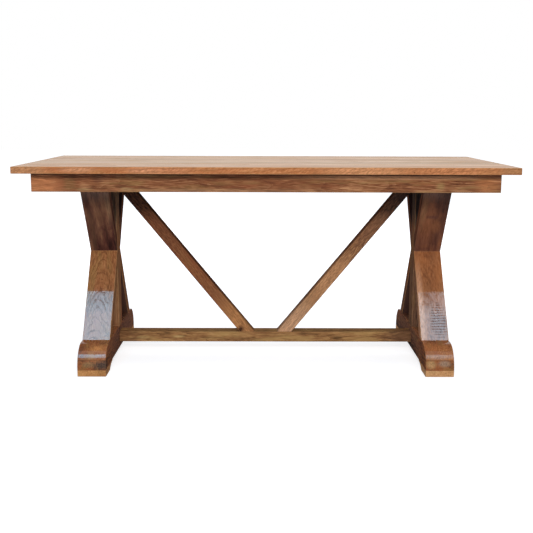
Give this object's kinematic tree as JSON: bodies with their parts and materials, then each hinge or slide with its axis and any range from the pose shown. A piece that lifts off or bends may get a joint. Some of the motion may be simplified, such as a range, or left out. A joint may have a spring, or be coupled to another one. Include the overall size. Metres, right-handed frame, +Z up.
{
  "type": "trestle dining table",
  "caption": "Rectangular solid wood dining table on crossed-arm trestles with bullnosed feet, a low stretcher and diagonal braces.",
  "frame": {"origin": "on the floor, under the middle of the table top", "axes": "+Z up, X along the table's length, and -Y towards the long side that the picture shows"},
  "size_m": [1.8, 0.85, 0.78],
  "materials": {
    "top_wood": "honey-brown hardwood boards, satin clear lacquer",
    "apron_wood": "reddish-brown hardwood with olive streaks, satin clear lacquer",
    "trestle_wood": "reddish-brown hardwood, satin clear lacquer",
    "brace_wood": "brown hardwood with darker streaks, satin clear lacquer",
    "inner_wood": "plain planed hardwood, thin matt lacquer",
    "dowel_wood": "fluted beech dowel, raw",
    "fastener_steel": "zinc plated"
  },
  "bodies": {
    "root": {"apron_back": "apron_wood", "apron_front": "apron_wood", "apron_left": "apron_wood", "apron_right": "apron_wood", "batten_screws": "fastener_steel", "bearer_screws": "fastener_steel", "brace_dowels": "dowel_wood", "brace_left": "brace_wood", "brace_right": "brace_wood", "brace_screws": "fastener_steel", "centre_batten": "inner_wood", "corner_block_back_left": "inner_wood", "corner_block_back_right": "inner_wood", "corner_block_front_left": "inner_wood", "corner_block_front_right": "inner_wood", "left_arm_dowels": "dowel_wood", "left_bearer": "inner_wood", "left_foot_beam": "trestle_wood", "left_foot_pad_back": "trestle_wood", "left_foot_pad_front": "trestle_wood", "left_lower_arm_back": "trestle_wood", "left_lower_arm_front": "trestle_wood", "left_pad_screws": "fastener_steel", "left_post": "trestle_wood", "left_upper_arm_back": "trestle_wood", "left_upper_arm_front": "trestle_wood", "right_arm_dowels": "dowel_wood", "right_bearer": "inner_wood", "right_foot_beam": "trestle_wood", "right_foot_pad_back": "trestle_wood", "right_foot_pad_front": "trestle_wood", "right_lower_arm_back": "trestle_wood", "right_lower_arm_front": "trestle_wood", "right_pad_screws": "fastener_steel", "right_post": "trestle_wood", "right_upper_arm_back": "trestle_wood", "right_upper_arm_front": "trestle_wood", "stretcher": "brace_wood", "stretcher_barrel_nuts": "fastener_steel", "stretcher_bolts": "fastener_steel", "stretcher_washers": "fastener_steel", "top_board_1": "top_wood", "top_board_2": "top_wood", "top_board_3": "top_wood", "top_board_4": "top_wood", "top_board_5": "top_wood", "top_board_6": "top_wood", "top_board_7": "top_wood"}
  },
  "joints": []
}
